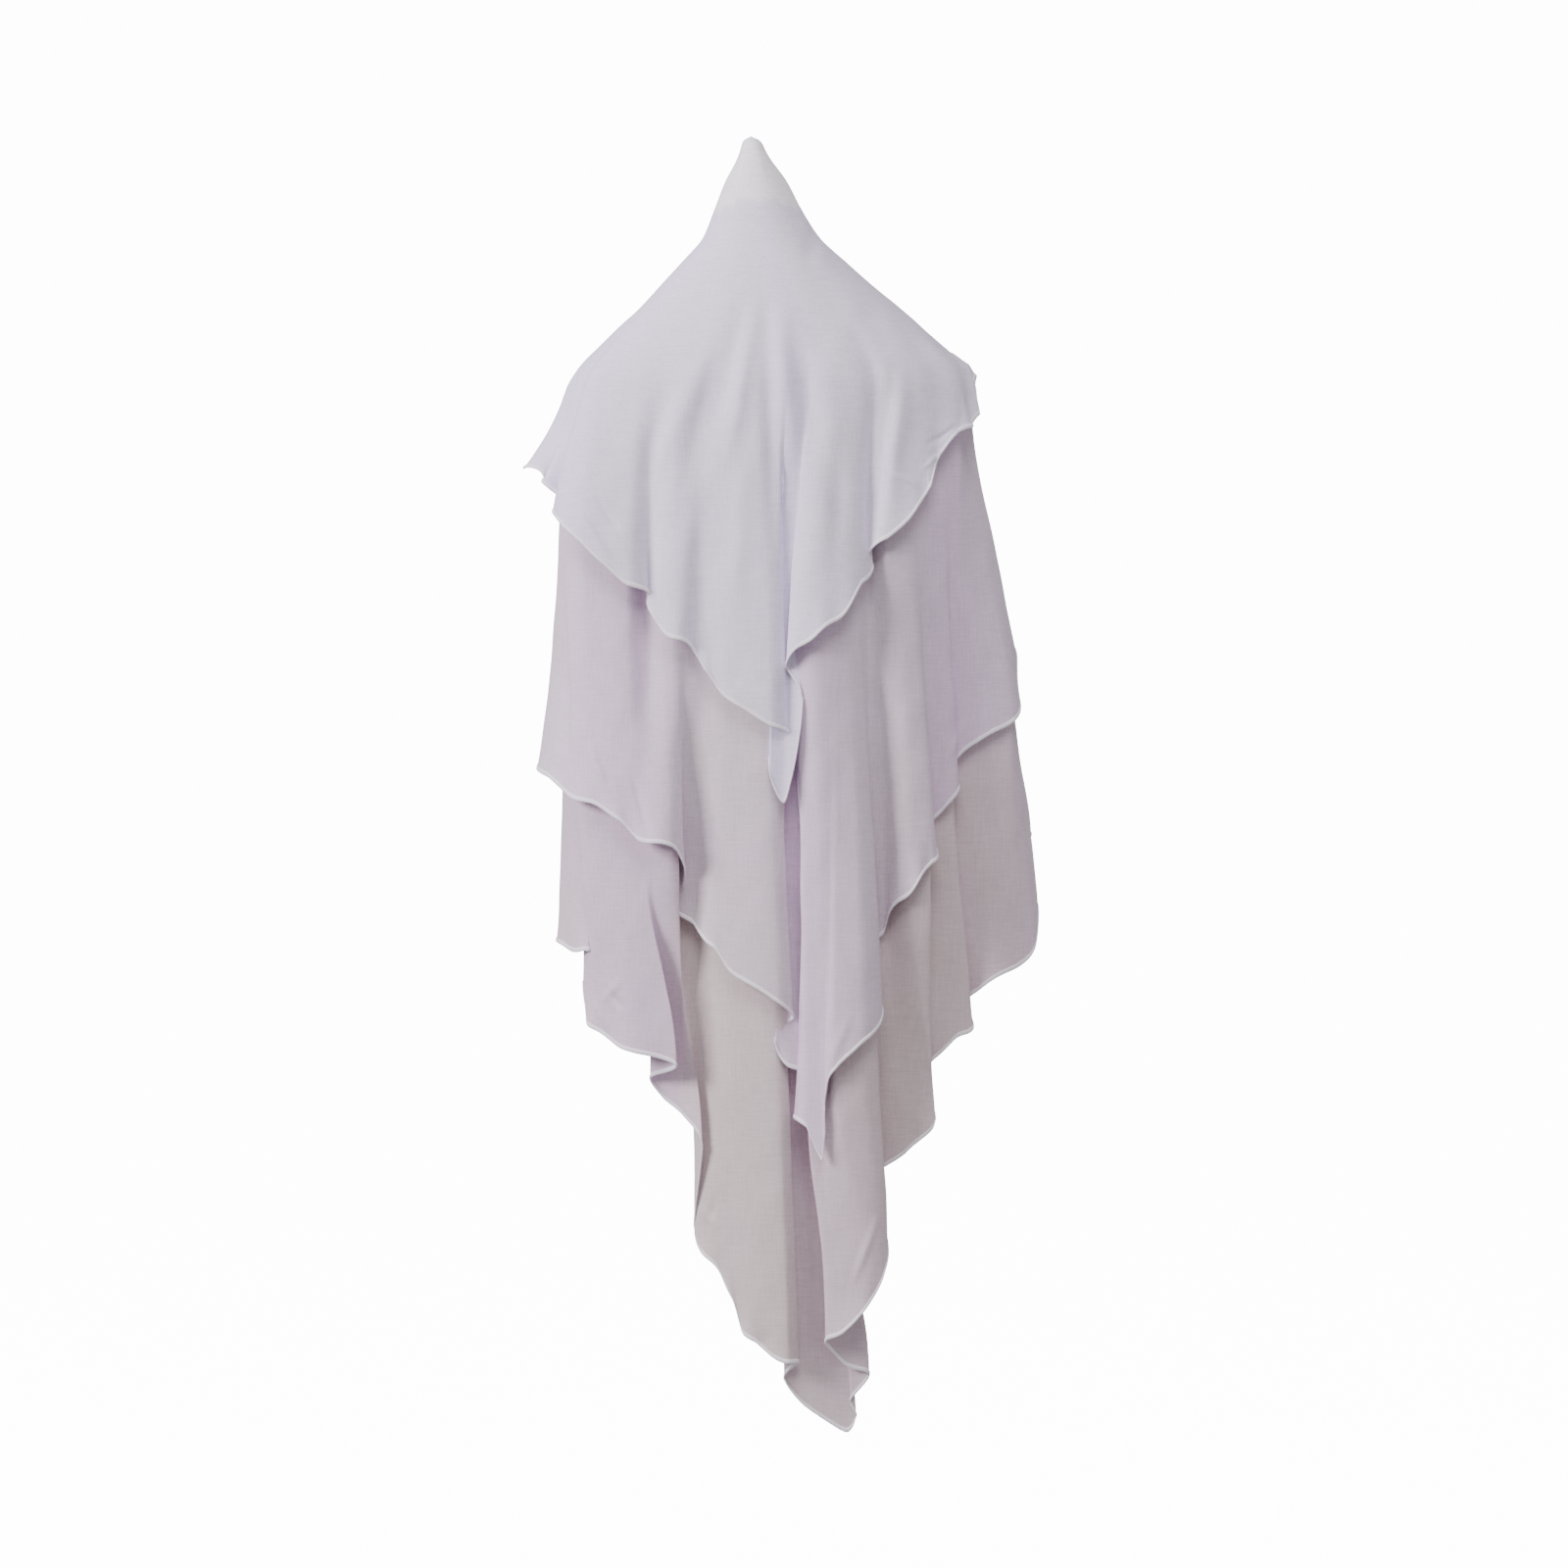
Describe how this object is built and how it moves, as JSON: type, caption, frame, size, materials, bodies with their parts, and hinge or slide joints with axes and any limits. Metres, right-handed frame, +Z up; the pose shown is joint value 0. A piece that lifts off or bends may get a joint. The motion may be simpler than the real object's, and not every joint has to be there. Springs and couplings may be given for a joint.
{
  "type": "three-tier khimar hijab",
  "caption": "Long head covering of thin cloth in stacked pointed tiers, closed all round with a bound face opening, hanging from its peak.",
  "frame": {"origin": "the point inside the peak that the garment hangs from", "axes": "+Z up along the hang, +Y out of the face opening, -Y towards the back with its three pointed hems, +X to the right of a viewer who looks at the back"},
  "size_m": [0.5658, 0.2462, 1.4212],
  "materials": {
    "upper_tier_cloth": "matte pale lilac chiffon",
    "middle_tier_cloth": "matte pale lilac chiffon",
    "lower_tier_cloth": "matte pale lilac chiffon",
    "face_binding_cloth": "matte pale lilac chiffon, folded"
  },
  "bodies": {
    "root": {"upper_tier": "upper_tier_cloth", "middle_tier": "middle_tier_cloth", "lower_tier": "lower_tier_cloth", "face_binding": "face_binding_cloth"}
  },
  "joints": []
}
